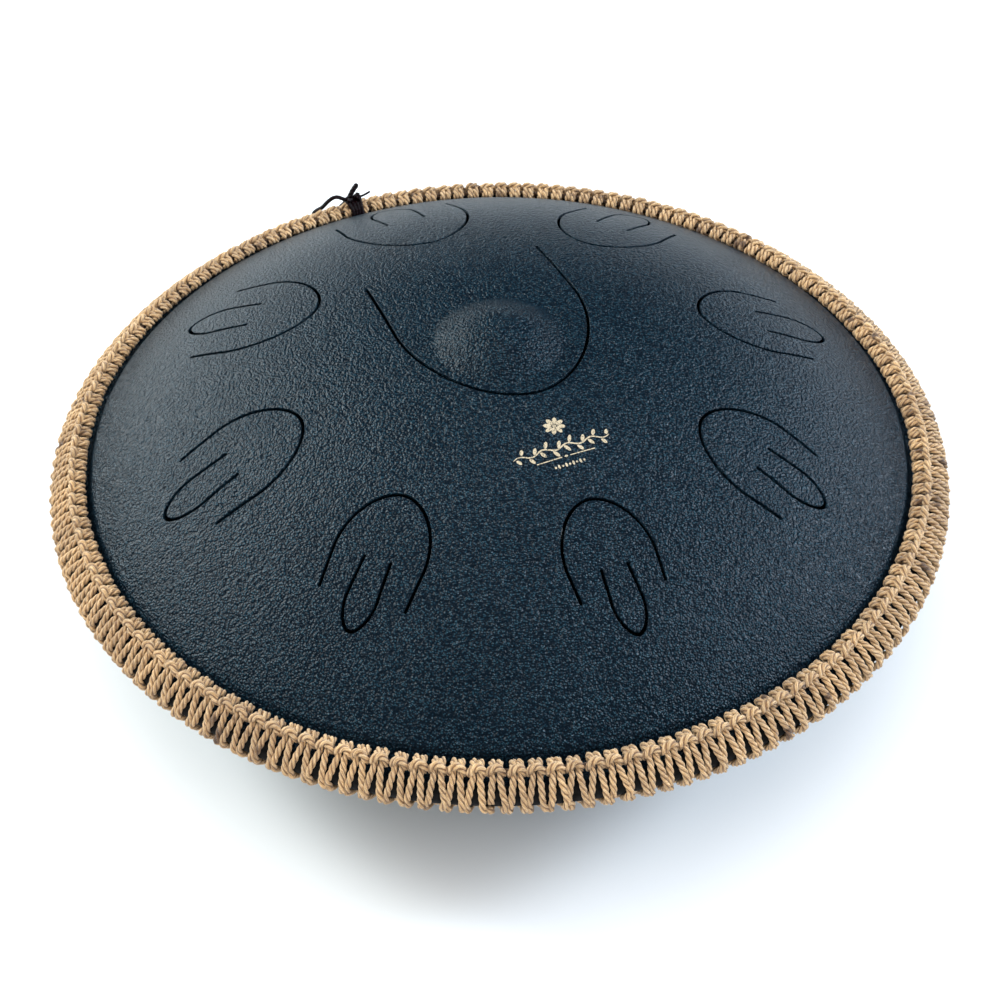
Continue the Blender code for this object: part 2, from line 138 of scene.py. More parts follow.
LEG_BEHIND = 0.3                 # how far a leg that arrives lies behind the one that leaves
NOSE_S, NOSE_R, NOSE_BEHIND_R = 2.78, 198.6, 197.7

# How uneven the knots are, as standard deviations: in millimetres, and below as shares or slopes
UNEVEN_LEG, UNEVEN_PLACE, UNEVEN_RADIUS, UNEVEN_NOSE = 0.3, 0.16, 0.1, 0.2
UNEVEN_TILT, UNEVEN_LEAN, UNEVEN_WIDTH, UNEVEN_SWELL, UNEVEN_TWINE = 0.12, 0.05, 0.04, 0.035, 0.03

# Tie cord
TIE_AZIMUTH = 113.3
TIE_CORD_R, TIE_PITCH = 1.15, 4.2
TIE_KNOT_R, TIE_KNOT_Z = 187.3, 15.6
LASHING = np.array((
    (185.9, 5.6), (183.2, 6.6), (181.9, 9.0), (183.2, 12.4), (186.6, 13.7), (190.6, 12.4),
    (194.2, 8.8), (197.4, 5.6), (200.3, 2.9), (201.4, 0.0)))
TIE_TURNS, TIE_SPREAD, TIE_PINCH = 4, 2.05, 0.74
# Each end's route as (azimuth, radius, height above mid): a little off the CAD's route, and begun
# deeper in the knot
LONG_END_D, SHORT_END_D, THIN_END_D = 2.2, 2.8, 1.2
LONG_END = (
    (113.7, 187.5, 14.4), (114.9, 187.6, 16.2), (115.7, 188.2, 17.8), (116.5, 188.9, 17.8),
    (117.3, 190.2, 15.4), (117.9, 193.2, 10.8), (118.3, 197.4, 6.8), (118.5, 200.9, 2.6),
    (118.6, 202.2, -3.0), (118.7, 202.4, -9.5),
)
SHORT_END = ((113.9, 187.6, 16.0), (113.5, 188.0, 18.8), (112.4, 188.9, 22.6))
THIN_END = ((112.9, 188.0, 14.8), (111.6, 188.2, 15.3), (110.4, 188.6, 16.4))

# Feet
FOOT_COUNT, FOOT_AZIMUTH, FOOT_RING_R = 4, 45.0, 72.0
FOOT_TOP_R, FOOT_SOLE_R, FOOT_GRIP, RECESS_R = 11.0, 10.0, 8.4, 4.6
SCREW_R, HEAD_R, HEAD_H, SCREW_HOLE_R = 2.0, 3.8, 2.4, 2.35
WASHER_R, WASHER_H, NUT_R, NUT_H = 4.5, 0.8, 4.04, 3.2
HEAD_SIDE, THREAD, CROSS = 0.9, 0.7, (3.9, 0.85, 2.4)
FOOT_STEPS, FOOT_EDGE, FASTENER_STEPS = 96, 1.2, 48
GAP = 0.3
CURVE_CLEARANCE = 0.25


# Points, lines and meshes

def resampled(line, step):
    """The same line with its points a step apart, and every column interpolated."""
    line = np.asarray(line, float)
    length = np.concatenate([[0], np.cumsum(np.linalg.norm(np.diff(line[:, :3], axis=0), axis=1))])
    count = max(2, round(length[-1] / step) + 1)
    places = np.linspace(0, length[-1], count)
    return np.stack([np.interp(places, length, column) for column in line.T], axis=1)


def smooth_line(points, samples=8):
    """Catmull-Rom through the points, in all their columns."""
    p = np.asarray(points, float)
    p = np.concatenate([[2 * p[0] - p[1]], p, [2 * p[-1] - p[-2]]])
    t = (np.arange(samples) / samples)[None, :, None]
    a, b, c, d = (p[i:len(p) - 3 + i, None, :] for i in range(4))
    line = 0.5 * (2 * b + (c - a) * t + (2 * a - 5 * b + 4 * c - d) * t ** 2
                  + (3 * b - a - 3 * c + d) * t ** 3)
    return np.concatenate([line.reshape(-1, p.shape[1]), p[-2:-1]])


def offset(points, distance):
    """A line of (x, y) moved sideways, to the right of its direction, with mitred corners."""
    points = np.asarray(points, float)
    d = np.diff(points, axis=0)
    normals = np.stack([d[:, 1], -d[:, 0]], axis=1) / np.linalg.norm(d, axis=1)[:, None]
    before = np.concatenate([normals[:1], normals])
    after = np.concatenate([normals, normals[-1:]])
    scale = distance / (1 + (before * after).sum(axis=1))
    return points + (before + after) * scale[:, None]


def round_the_axis(s_r_z):
    """Points of (azimuth in radians, radius, height above mid) as x, y, z."""
    a, r, z = (s_r_z[..., i] for i in range(3))
    return np.stack([r * np.cos(a), r * np.sin(a), z + MID_Z], axis=-1)


def mesh_object(name, verts, faces, finish, sharp=None):
    mesh = bpy.data.meshes.new(name)
    mesh.from_pydata((np.asarray(verts) * MM).tolist(), [], faces)
    mesh.materials.append(finish)
    mesh.shade_smooth()
    if sharp:
        mesh.set_sharp_from_angle(angle=math.radians(sharp))
    ob = bpy.data.objects.new(name, mesh)
    bpy.context.scene.collection.objects.link(ob)
    return ob


def grid_faces(rows, columns, wrap_rows=False):
    """Quads of a grid of points whose columns close up round a ring."""
    faces = []
    for i in range(rows if wrap_rows else rows - 1):
        a, b = i * columns, (i + 1) % rows * columns
        for j in range(columns):
            k = (j + 1) % columns
            faces.append((a + j, a + k, b + k, b + j))
    return faces


def turned_points(profile, steps):
    profile = np.asarray(profile, float)
    a = np.arange(steps) * math.tau / steps
    x = profile[:, None, 0] * np.cos(a)
    y = profile[:, None, 0] * np.sin(a)
    z = np.repeat(profile[:, 1:2], steps, axis=1)
    return np.stack([x, y, z], axis=-1).reshape(-1, 3)


def welded(ob):
    """Merge coincident points, and face every face outwards."""
    bm = bmesh.new()
    bm.from_mesh(ob.data)
    bmesh.ops.remove_doubles(bm, verts=bm.verts, dist=0.000001)
    bmesh.ops.recalc_face_normals(bm, faces=bm.faces)
    bm.to_mesh(ob.data)
    bm.free()
    return ob


def turned(name, profile, finish, steps=ROUND_STEPS, closed=True, sharp=50, lift=MID_Z):
    """An outline of (radius, height) turned round Z, lifted to the rim's middle plane."""
    verts = turned_points(profile, steps)
    verts[:, 2] += lift
    ob = welded(mesh_object(name, verts, grid_faces(len(profile), steps, closed), finish))
    ob.data.set_sharp_from_angle(angle=math.radians(sharp))
    return ob


def joined(name, pieces):
    """Several mesh objects as one, keeping their attributes."""
    with bpy.context.temp_override(active_object=pieces[0], selected_editable_objects=pieces):
        bpy.ops.object.join()
    pieces[0].name = pieces[0].data.name = name
    return pieces[0]


# Cords

def rolling_frames(points):
    """Unit tangents, and two unit normals that don't turn about the line."""
    tangents = np.gradient(points, axis=0)
    tangents /= np.linalg.norm(tangents, axis=1)[:, None]
    side = np.cross(tangents[0], (0.0, 0.0, 1.0))
    if np.linalg.norm(side) < 0.1:
        side = np.cross(tangents[0], (1.0, 0.0, 0.0))
    normal = side / np.linalg.norm(side)
    normals = [normal]
    for i in range(len(points) - 1):
        v = points[i + 1] - points[i]
        v = v / math.sqrt(v @ v)
        normal = normal - 2 * (v @ normal) * v
        tangent = tangents[i] - 2 * (v @ tangents[i]) * v
        v = tangents[i + 1] - tangent
        square = v @ v
        if square > 1e-12:
            normal = normal - 2 / square * (v @ normal) * v
        normals.append(normal)
    normals = np.array(normals)
    return tangents, normals, np.cross(tangents, normals)


def ply_section(plies, points_each, centre):
    """Angles and relative radii of a cord's section: round plies, with a groove between two.

    The plies' centres are that share of the cord's radius away from its axis.
    """
    count = plies * points_each
    angles = np.arange(count) * math.tau / count
    from_ply = (angles + math.pi / plies) % (math.tau / plies) - math.pi / plies
    ply = 1 - centre
    radii = centre * np.cos(from_ply) + np.sqrt(ply ** 2 - (centre * np.sin(from_ply)) ** 2)
    return angles, radii


def cord_rings(points, radii, pitch, section, phase=0.0):
    """Rings of points round a line, turning with the plies, and the phase at each ring."""
    angles, shape = section
    length = np.concatenate([[0], np.cumsum(np.linalg.norm(np.diff(points, axis=0), axis=1))])
    turn = phase + length / pitch * math.tau
    _, normal, binormal = rolling_frames(points)
    a = angles[None, :] + turn[:, None]
    reach = radii[:, None] * shape[None, :]
    rings = (points[:, None, :] + (reach * np.cos(a))[..., None] * normal[:, None, :]
             + (reach * np.sin(a))[..., None] * binormal[:, None, :])
    return rings, length


def cord_object(name, rings, length, section, radius, tone, finish):
    """A cord's surface with rounded-off ends, and what its material needs to know of the plies."""
    angles, shape = section
    n, m = rings.shape[:2]
    ends = rings[[0, -1]].mean(axis=1)
    verts = np.concatenate([rings.reshape(-1, 3), ends])
    faces = grid_faces(n, m)
    last = (n - 1) * m
    for j in range(m):
        k = (j + 1) % m
        faces.append((n * m, k, j))
        faces.append((n * m + 1, last + j, last + k))
    ob = mesh_object(name, verts, faces, finish)
    lay = np.empty((n, m, 3))
    lay[..., 0] = radius * np.cos(angles)
    lay[..., 1] = radius * np.sin(angles)
    lay[..., 2] = length[:, None]
    lay = np.concatenate([lay.reshape(-1, 3), lay[[0, -1], 0]])
    groove = np.tile((shape.max() - shape) / (shape.max() - shape.min() + 1e-9), (n, 1))
    groove = np.concatenate([groove.ravel(), [0.0, 0.0]])
    tones = np.concatenate([np.repeat(tone, m), tone[[0, -1]]])
    for attribute, kind, values in (("lay", "FLOAT_VECTOR", lay), ("groove", "FLOAT", groove),
                                    ("tone", "FLOAT", tones)):
        layer = ob.data.attributes.new(attribute, kind, "POINT")
        layer.data.foreach_set("vector" if kind == "FLOAT_VECTOR" else "value",
                               np.ascontiguousarray(values, dtype=np.float32).ravel())
    return ob


def cord(name, points, radius, finish, pitch, section, step):
    """A twisted cord with tapered ends along a smooth line through the points, and that line."""
    line = resampled(smooth_line(points), step)
    radii = np.full(len(line), radius)
    for i, share in enumerate(END_TAPER):
        radii[i] = radii[-1 - i] = radius * share
    rings, length = cord_rings(line, radii, pitch, section)
    return cord_object(name, rings, length, section, radius, np.full(len(line), 0.5), finish), line


# Materials

def node_material(name):
    material = bpy.data.materials.new(name)
    material.use_nodes = True
    nodes = material.node_tree.nodes
    shader = nodes["Principled BSDF"]
    return material, nodes, material.node_tree.links, shader


def add(nodes, kind, **settings):
    """A node with its properties and, by name, its inputs set."""
    node = nodes.new(kind)
    for key, value in settings.items():
        if hasattr(node, key):
            setattr(node, key, value)
        else:
            node.inputs[key.replace("_", " ")].default_value = value
    return node


def ramp(nodes, links, source, stops):
    node = nodes.new("ShaderNodeValToRGB")
    elements = node.color_ramp.elements
    while len(elements) < len(stops):
        elements.new(0.5)
    for element, (place, colour) in zip(elements, stops):
        element.position = place
        element.color = (*colour, 1.0)
    links.new(source, node.inputs["Fac"])
    return node.outputs["Color"]


def bump(nodes, links, source, distance, strength=1.0, under=None):
    node = nodes.new("ShaderNodeBump")
    node.inputs["Distance"].default_value = distance
    node.inputs["Strength"].default_value = strength
    links.new(source, node.inputs["Height"])
    if under:
        links.new(under, node.inputs["Normal"])
    return node.outputs["Normal"]


def multiplied(nodes, links, one, other):
    node = add(nodes, "ShaderNodeMix", data_type="RGBA", blend_type="MULTIPLY")
    node.inputs["Factor"].default_value = 1.0
    links.new(one, node.inputs["A"])
    links.new(other, node.inputs["B"])
    return node.outputs["Result"]


def enamel():
    """Navy powder coat with a leathery grain about a millimetre across."""
    material, nodes, links, shader = node_material("navy_powder_coat")
    where = add(nodes, "ShaderNodeTexCoord").outputs["Object"]
    wander = add(nodes, "ShaderNodeTexNoise", Scale=420.0, Detail=1.0)
    links.new(where, wander.inputs["Vector"])
    push = add(nodes, "ShaderNodeVectorMath", operation="SCALE")
    links.new(wander.outputs["Color"], push.inputs[0])
    push.inputs["Scale"].default_value = 0.0006
    warped = add(nodes, "ShaderNodeVectorMath", operation="ADD")
    links.new(where, warped.inputs[0])
    links.new(push.outputs[0], warped.inputs[1])
    pebbles = add(nodes, "ShaderNodeTexVoronoi", feature="SMOOTH_F1", Scale=1100.0, Smoothness=0.3)
    links.new(warped.outputs[0], pebbles.inputs["Vector"])
    creases = add(nodes, "ShaderNodeTexNoise", Scale=620.0, Detail=1.0)
    links.new(where, creases.inputs["Vector"])
    broad = add(nodes, "ShaderNodeTexNoise", Scale=30.0, Detail=2.0)
    links.new(where, broad.inputs["Vector"])

    normal = bump(nodes, links, pebbles.outputs["Distance"], 0.00048, 1.0)
    normal.node.invert = True
    normal = bump(nodes, links, creases.outputs["Fac"], 0.0009, 1.0, normal)
    links.new(normal, shader.inputs["Normal"])
    colour = ramp(nodes, links, broad.outputs["Fac"],
                  ((0.3, (0.0034, 0.0150, 0.0260)), (0.7, (0.0047, 0.0178, 0.0300))))
    # Painted light on the grain, partly paint wear: the pebbles' tops are painted up to six times lighter
    # as a painted highlight, and the pits between them darker as painted shade.
    pebble_light_and_shade = ramp(nodes, links, pebbles.outputs["Distance"],
                ((0.10, (6.0, 3.6, 2.7)), (0.30, (1.1, 1.1, 1.1)), (0.48, (0.2, 0.25, 0.3))))
    links.new(multiplied(nodes, links, colour, pebble_light_and_shade), shader.inputs["Base Color"])
    shine = ramp(nodes, links, pebbles.outputs["Distance"],
                 ((0.08, (0.15, 0.15, 0.15)), (0.42, (0.38, 0.38, 0.38))))
    links.new(shine, shader.inputs["Roughness"])
    shader.inputs["Specular IOR Level"].default_value = 0.32
    shader.inputs["IOR"].default_value = 1.33
    return material


def jute():
    """Tan jute: fibre streaks along the plies, painted shade and some dust in the grooves between them,
    uneven from knot to knot.
    """
    material, nodes, links, shader = node_material("jute_twine")
    lay = add(nodes, "ShaderNodeAttribute", attribute_name="lay").outputs["Vector"]
    groove = add(nodes, "ShaderNodeAttribute", attribute_name="groove").outputs["Fac"]
    tone = add(nodes, "ShaderNodeAttribute", attribute_name="tone").outputs["Fac"]
    stretch = add(nodes, "ShaderNodeMapping")
    stretch.inputs["Scale"].default_value = (8.0, 8.0, 0.6)
    links.new(lay, stretch.inputs["Vector"])
    streaks = add(nodes, "ShaderNodeTexNoise", Scale=1.0, Detail=3.0, Roughness=0.65)
    links.new(stretch.outputs[0], streaks.inputs["Vector"])
    blotches = add(nodes, "ShaderNodeTexNoise", Scale=0.5, Detail=2.0)
    links.new(lay, blotches.inputs["Vector"])

    colour = ramp(nodes, links, streaks.outputs["Fac"], (
        (0.32, (0.17, 0.070, 0.022)), (0.43, (0.52, 0.30, 0.125)), (0.55, (0.80, 0.545, 0.295)),
        (0.68, (1.00, 0.82, 0.55))))
    # Tone varies at random from knot to knot. Tone 0, which only the core cords have, is painted shade
    # and makes them about a quarter as light.
    shade = ramp(nodes, links, tone, ((0.0, (0.22, 0.16, 0.11)), (0.1, (0.80, 0.76, 0.72)),
                                      (0.5, (0.95, 0.93, 0.90)), (1.0, (1.12, 1.08, 1.0))))
    # Painted shade, with some dust: the grooves between the plies are painted darker, down to about a
    # quarter at their bottoms.
    groove_dirt_and_shade = ramp(nodes, links, groove, ((0.30, (1.0, 1.0, 1.0)), (1.0, (0.24, 0.14, 0.07))))
    uneven = ramp(nodes, links, blotches.outputs["Fac"],
                  ((0.3, (0.86, 0.82, 0.76)), (0.65, (1.0, 1.0, 1.0))))
    for factor in (shade, groove_dirt_and_shade, uneven):
        colour = multiplied(nodes, links, colour, factor)
    links.new(colour, shader.inputs["Base Color"])
    links.new(bump(nodes, links, streaks.outputs["Fac"], 0.00060), shader.inputs["Normal"])
    shader.inputs["Roughness"].default_value = 0.7
    shader.inputs["Specular IOR Level"].default_value = 0.35
    shader.inputs["Sheen Weight"].default_value = 0.25
    shader.inputs["Sheen Roughness"].default_value = 0.5
    return material


def gold_ink():
    """Pale gold printing ink, rubbed through in specks by the enamel's grain."""
    material, nodes, links, shader = node_material("gold_ink")
    where = add(nodes, "ShaderNodeTexCoord").outputs["Object"]
    noise = add(nodes, "ShaderNodeTexNoise", Scale=1400.0, Detail=2.0)
    links.new(where, noise.inputs["Vector"])
    colour = ramp(nodes, links, noise.outputs["Fac"], (
        (0.36, (0.10, 0.09, 0.07)), (0.46, (0.36, 0.29, 0.19)), (0.62, (0.47, 0.38, 0.26))))
    links.new(colour, shader.inputs["Base Color"])
    links.new(bump(nodes, links, noise.outputs["Fac"], 0.0001), shader.inputs["Normal"])
    shader.inputs["Roughness"].default_value = 0.5
    return material


def tie_leather():
    """Dark brown waxed cord with a purplish shine on its plies."""
    material, nodes, links, shader = node_material("brown_tie_cord")
    lay = add(nodes, "ShaderNodeAttribute", attribute_name="lay").outputs["Vector"]
    groove = add(nodes, "ShaderNodeAttribute", attribute_name="groove").outputs["Fac"]
    streaks = add(nodes, "ShaderNodeTexNoise", Scale=2.4, Detail=2.0)
    links.new(lay, streaks.inputs["Vector"])
    colour = ramp(nodes, links, streaks.outputs["Fac"], (
        (0.45, (0.002, 0.001, 0.001)), (0.60, (0.010, 0.003, 0.004)), (0.72, (0.050, 0.016, 0.024))))
    # Painted shade, with some dust: the grooves between the plies are painted darker.
    groove_dirt_and_shade = ramp(nodes, links, groove, ((0.3, (1.0, 1.0, 1.0)), (1.0, (0.35, 0.3, 0.3))))
    links.new(multiplied(nodes, links, colour, groove_dirt_and_shade), shader.inputs["Base Color"])
    links.new(bump(nodes, links, streaks.outputs["Fac"], 0.00030), shader.inputs["Normal"])
    shader.inputs["Roughness"].default_value = 0.5
    shader.inputs["Specular IOR Level"].default_value = 0.16
    return material


def speckled(name, dark, light, scale, roughness, depth, metallic=0.0, specular=0.5):
    """A moulded or machined finish: fine mottling in the colour, and a matching bump."""
    material, nodes, links, shader = node_material(name)
    where = add(nodes, "ShaderNodeTexCoord").outputs["Object"]
    noise = add(nodes, "ShaderNodeTexNoise", Scale=scale, Detail=3.0)
    links.new(where, noise.inputs["Vector"])
    links.new(ramp(nodes, links, noise.outputs["Fac"], ((0.35, dark), (0.65, light))),
              shader.inputs["Base Color"])
    links.new(bump(nodes, links, noise.outputs["Fac"], depth), shader.inputs["Normal"])
    shader.inputs["Roughness"].default_value = roughness
    shader.inputs["Metallic"].default_value = metallic
    shader.inputs["Specular IOR Level"].default_value = specular
    return material


# Shells

def crown_z(r):
    """Height of the wall above mid at radius r."""
    return KNEE_Z + (CROWN_Z - KNEE_Z) * (1 - (r / KNEE_R) ** CROWN_POWER)


def crown_slope(r):
    """Fall of the wall per millimetre outwards."""
    return (CROWN_Z - KNEE_Z) * CROWN_POWER / KNEE_R * (r / KNEE_R) ** (CROWN_POWER - 1)


def wall_z(r):
    """The crowned wall, its steep edge and the flange, running softly into one another."""
    wall = crown_z(r)
    over = wall - (crown_z(FOLD_R) - FOLD_SLOPE * (r - FOLD_R))
    wall = wall - (over + np.sqrt(over ** 2 + FOLD ** 2)) / 2
    rise = wall - FLANGE_Z
    return FLANGE_Z + (rise + np.sqrt(rise ** 2 + FOLD ** 2)) / 2


def skin_z(x, y):
    """Height of the upper shell's outer face above mid, with the pressed dome."""
    inside = np.clip(1 - ((x - DOME_X) ** 2 + (y - DOME_Y) ** 2) / DOME_R ** 2, 0, None)
    return wall_z(np.hypot(x, y)) + DOME_H * inside ** DOME_POWER


def skin(xy):
    """Points and unit normals of the upper shell's outer face over places in the plan."""
    x, y = xy[:, 0], xy[:, 1]
    h = 0.02
    slope_x = (skin_z(x + h, y) - skin_z(x - h, y)) / (2 * h)
    slope_y = (skin_z(x, y + h) - skin_z(x, y - h)) / (2 * h)
    normals = np.stack([-slope_x, -slope_y, np.ones_like(x)], axis=1)
    normals /= np.linalg.norm(normals, axis=1)[:, None]
    return np.stack([x, y, skin_z(x, y) + MID_Z], axis=1), normals


def arch(half, shoulder, tip, end):
    """Centreline of a U-shaped slot as (across, along): legs, and a superelliptic round."""
    a = np.linspace(0, math.pi, 181)
    across = half * np.sign(np.cos(a)) * np.abs(np.cos(a)) ** (2 / ARCH_POWER)
    along = shoulder + (tip - shoulder) * np.sin(a) ** (2 / ARCH_POWER)
    line = np.stack([across, along], axis=1)
    line = np.concatenate([[(half - TAPER, end)], line, [(TAPER - half, end)]])
    return resampled(line, SLOT_STEP)


def slot_lines():
    """Centrelines of all the slots in the plan."""
    shapes = []
    for azimuth, half, tip, end, in_half, in_tip, in_end in TONGUES:
        shapes.append((azimuth, arch(half, tip + ARCH_ASPECT * half, tip, end)))
        shapes.append((azimuth, arch(in_half, in_tip - OCTAVE_ASPECT * in_half, in_tip, in_end)))
    centre = arch(CENTRE_HALF, CENTRE_SHOULDER, CENTRE_TIP, CENTRE_END)
    shapes.append((CENTRE_AZIMUTH, centre + (CENTRE_OFFSET, 0)))
    lines = []
    for azimuth, line in shapes:
        a = math.radians(azimuth)
        axes = np.array(((-math.sin(a), math.cos(a)), (math.cos(a), math.sin(a))))
        lines.append(line @ axes)
    return lines


def slot_loop(line, width):
    """The closed outline of a slot of that half-width, counter-clockwise, with round ends."""
    along = np.gradient(line, axis=0)
    along /= np.linalg.norm(along, axis=1)[:, None]
    right = np.stack([along[:, 1], -along[:, 0]], axis=1)
    turns = np.radians((30, 60, 90, 120, 150))[:, None]
    end = line[-1] + width * (right[-1] * np.cos(turns) + along[-1] * np.sin(turns))
    start = line[0] + width * (-right[0] * np.cos(turns) - along[0] * np.sin(turns))
    return np.concatenate([line + width * right, end, (line - width * right)[::-1], start])


def plan_points(lines):
    """Points spread over the upper shell's plan, closer on the dome and the fold, clear of slots."""
    radii = [0.0, *np.arange(1.5, 40, 1.5), *np.arange(42, 177, 3.3), *EDGE_RADII]
    points = [np.zeros((1, 2))]
    for i, r in enumerate(radii[1:]):
        count = round(math.tau * r / (1.6 if r < 40 else 3.3))
        a = (np.arange(count) + 0.5 * (i % 2)) * math.tau / count
        points.append(np.stack([r * np.cos(a), r * np.sin(a)], axis=1))
    points = np.concatenate(points)
    clear = np.full(len(points), True)
    for line in lines:
        near = np.linalg.norm(points[:, None] - line[None], axis=2).min(axis=1)
        clear &= near > SLOT / 2 + SLOT_EDGE + 0.7
    a = np.arange(380) * math.tau / 380
    edge = FLANGE_R * np.stack([np.cos(a), np.sin(a)], axis=1)
    return np.concatenate([points[clear], edge]), len(a)


def upper_shell(finish):
    """The upper shell: a sheet over the plan, holed by the slots, with rolled slot edges."""
    lines = slot_lines()
    points, edge_count = plan_points(lines)
    loops = [slot_loop(line, SLOT / 2 + SLOT_EDGE) for line in lines]
    starts = np.cumsum([len(points)] + [len(loop) for loop in loops])
    coords = [Vector(p) for p in np.concatenate([points] + loops)]
    holes = [list(range(a, b)) for a, b in zip(starts, starts[1:])]
    plan, _, triangles, sources, _, owners = delaunay_2d_cdt(coords, [], holes, 0, 1e-5)
    place = {source: i for i, merged in enumerate(sources) for source in merged}
    triangles = [t for t, owner in zip(triangles, owners) if not owner]
    plan = np.array([tuple(p) for p in plan])

    outer, up = skin(plan)
    count = len(plan)
    verts, normals = [outer, outer - SHEET * up], [up, -up]
    faces = list(triangles) + [(c + count, b + count, a + count) for a, b, c in triangles]
    edge = [place[len(points) - edge_count + i] for i in range(edge_count)]
    for a, b in zip(edge, edge[1:] + edge[:1]):
        faces.append((b, a, a + count, b + count))

    total = 2 * count
    roll = [(math.radians(d), SLOT_EDGE * (1 - math.cos(math.radians(d)))) for d in (30, 60, 90)]
    rows = [(a, depth, 1) for a, depth in roll] + [(a, SHEET - depth, -1) for a, depth in roll[::-1]]
    for line, hole in zip(lines, holes):
        top = [place[i] for i in hole]
        previous = top
        for a, depth, side in rows:
            loop = slot_loop(line, SLOT / 2 + SLOT_EDGE * (1 - math.sin(a)))
            place_on, n = skin(loop)
            inwards = skin(slot_loop(line, SLOT / 2))[0] - skin(slot_loop(line, SLOT / 2 + 0.1))[0]
            inwards /= np.linalg.norm(inwards, axis=1)[:, None]
            verts.append(place_on - depth * n)
            normals.append(side * math.cos(a) * n + math.sin(a) * inwards)
            row = list(range(total, total + len(loop)))
            total += len(loop)
            for i in range(len(row)):
                j = (i + 1) % len(row)
                faces.append((previous[i], previous[j], row[j], row[i]))
            previous = row
        row = [i + count for i in top]
        for i in range(len(row)):
            j = (i + 1) % len(row)
            faces.append((previous[i], previous[j], row[j], row[i]))
    ob = mesh_object("steel_upper_shell", np.concatenate(verts), faces, finish)
    normals = np.concatenate(normals)
    normals /= np.linalg.norm(normals, axis=1)[:, None]
    ob.data.normals_split_custom_set_from_vertices(normals.tolist())
    return ob


def oval(u, v, length, breadth, lean):
    """A pointed oval as a band: its centreline and its half-width along it."""
    t = np.linspace(-1, 1, 9)
    reach = t * length / 2
    line = np.stack([u + reach * math.cos(lean), v + reach * math.sin(lean)], axis=1)
    return line, np.maximum(breadth / 2 * (1 - t ** 2) ** 0.6, 0.02)


def emblem(finish):
    """A pale gold ornament printed below the centre tongue, as a film on the enamel.

    It has a rosette, a leafy vine, a rule broken by a diamond and a row of dots.
    """
    bands = []
    u0, v0 = EMBLEM_ROSETTE
    for i in range(PETALS):
        a = math.tau * (i + 0.5) / PETALS
        bands.append(oval(u0 + 2.9 * math.cos(a), v0 + 2.6 * math.sin(a), 3.6, 1.9, a))
    bands.append(oval(u0, v0, 1.7, 1.7, 0))
    t = np.linspace(-1, 1, 121)
    half = EMBLEM_WIDTH / 2
    stem = np.stack([t * half, VINE_WAVE * np.sin(t * math.tau * 2)], axis=1)
    bands.append((stem, 0.34 * np.sqrt(1 - 0.9 * t ** 4)))
    for i in range(LEAVES):
        u = (2 * i - LEAVES + 1) / LEAVES * half
        side = 1 if i % 2 else -1
        size = 3.7 - 0.05 * u * u / half
        foot = VINE_WAVE * math.sin(u / half * math.tau * 2)
        bands.append(oval(u + 0.7, foot + side * 2.0, size, 1.5, side * 1.05))
    for side in (-1, 1):
        t = np.linspace(1.8, EMBLEM_RULE / 2, 15)
        bands.append((np.stack([side * t, np.full(15, EMBLEM_RULE_V)], axis=1), np.full(15, 0.22)))
    diamond = np.array(((-0.8, 0), (0, 0), (0.8, 0))) + (0, EMBLEM_RULE_V)
    bands.append((diamond, np.array((0.02, 0.6, 0.02))))
    for i in range(DOTS):
        bands.append(oval((i - DOTS // 2) * 1.55, EMBLEM_DOTS_V, 1.0, 1.0 + 0.9 * (i % 2), 0))

    a = math.radians(CENTRE_AZIMUTH + 90)
    axes = np.array(((math.cos(a), math.sin(a)), (-math.sin(a), math.cos(a))))
    verts, faces = [], []
    for line, widths in bands:
        along = np.gradient(line, axis=0)
        along /= np.linalg.norm(along, axis=1)[:, None]
        across = np.stack([-along[:, 1], along[:, 0]], axis=1) * widths[:, None]
        both = np.stack([line - across, line + across], axis=1).reshape(-1, 2)
        place, up = skin(both @ axes + EMBLEM_CENTRE)
        low, high = place - EMBLEM_FILM * up, place + EMBLEM_FILM * up
        rows = np.stack([low[::2], low[1::2], high[1::2], high[::2]], axis=1).reshape(-1, 3)
        start, n = sum(map(len, verts)), len(line)
        prism = [face[::-1] for face in grid_faces(n, 4)]
        prism += [(0, 1, 2, 3), tuple(4 * n - 4 + i for i in (3, 2, 1, 0))]
        faces += [tuple(start + i for i in face) for face in prism]
        verts.append(rows)
    ob = mesh_object("printed_emblem", np.concatenate(verts), faces, finish, 30)
    return welded(ob)


def lower_shell(finish):
    """The lower shell: the upper's mirror image, rolled inwards at its sound port."""
    lip = PORT_R + PORT_LIP
    radii = [*np.arange(lip, 177, 3.3), *EDGE_RADII, FLANGE_R]
    wall = [(r, -wall_z(r)) for r in radii][::-1]
    lip_z = wall[-1][1] + PORT_LIP
    turns = np.radians(np.arange(10, 91, 10))
    roll = [(lip - PORT_LIP * math.sin(a), lip_z - PORT_LIP * math.cos(a)) for a in turns]
    neck = [((PORT_R + NECK_R) / 2, lip_z + NECK_LENGTH / 2), (NECK_R, lip_z + NECK_LENGTH)]
    outer = np.array(wall + roll + neck)
    return turned("steel_lower_shell", np.concatenate([outer, offset(outer, SHEET)[::-1]]), finish)


# Rim

def mirrored(outline):
    """An outline above mid, and the same below it in the opposite order."""
    outline = np.asarray(outline)
    return np.concatenate([outline, (outline * (1, -1))[::-1][outline[-1, 1] == 0:]])


def edge_trim(finish):
    """A U of rubber over both flanges, with a rounded nose."""
    leg, web = FLANGE_Z + GAP, FLANGE_R + GAP
    outside = smooth_line(mirrored(TRIM_OUTSIDE), 5)
    inside = [(TRIM_OUTSIDE[0][0], -leg), (web, -leg), (web, leg), (TRIM_OUTSIDE[0][0], leg)]
    return turned("rubber_edge_trim", np.concatenate([outside, inside]), finish)


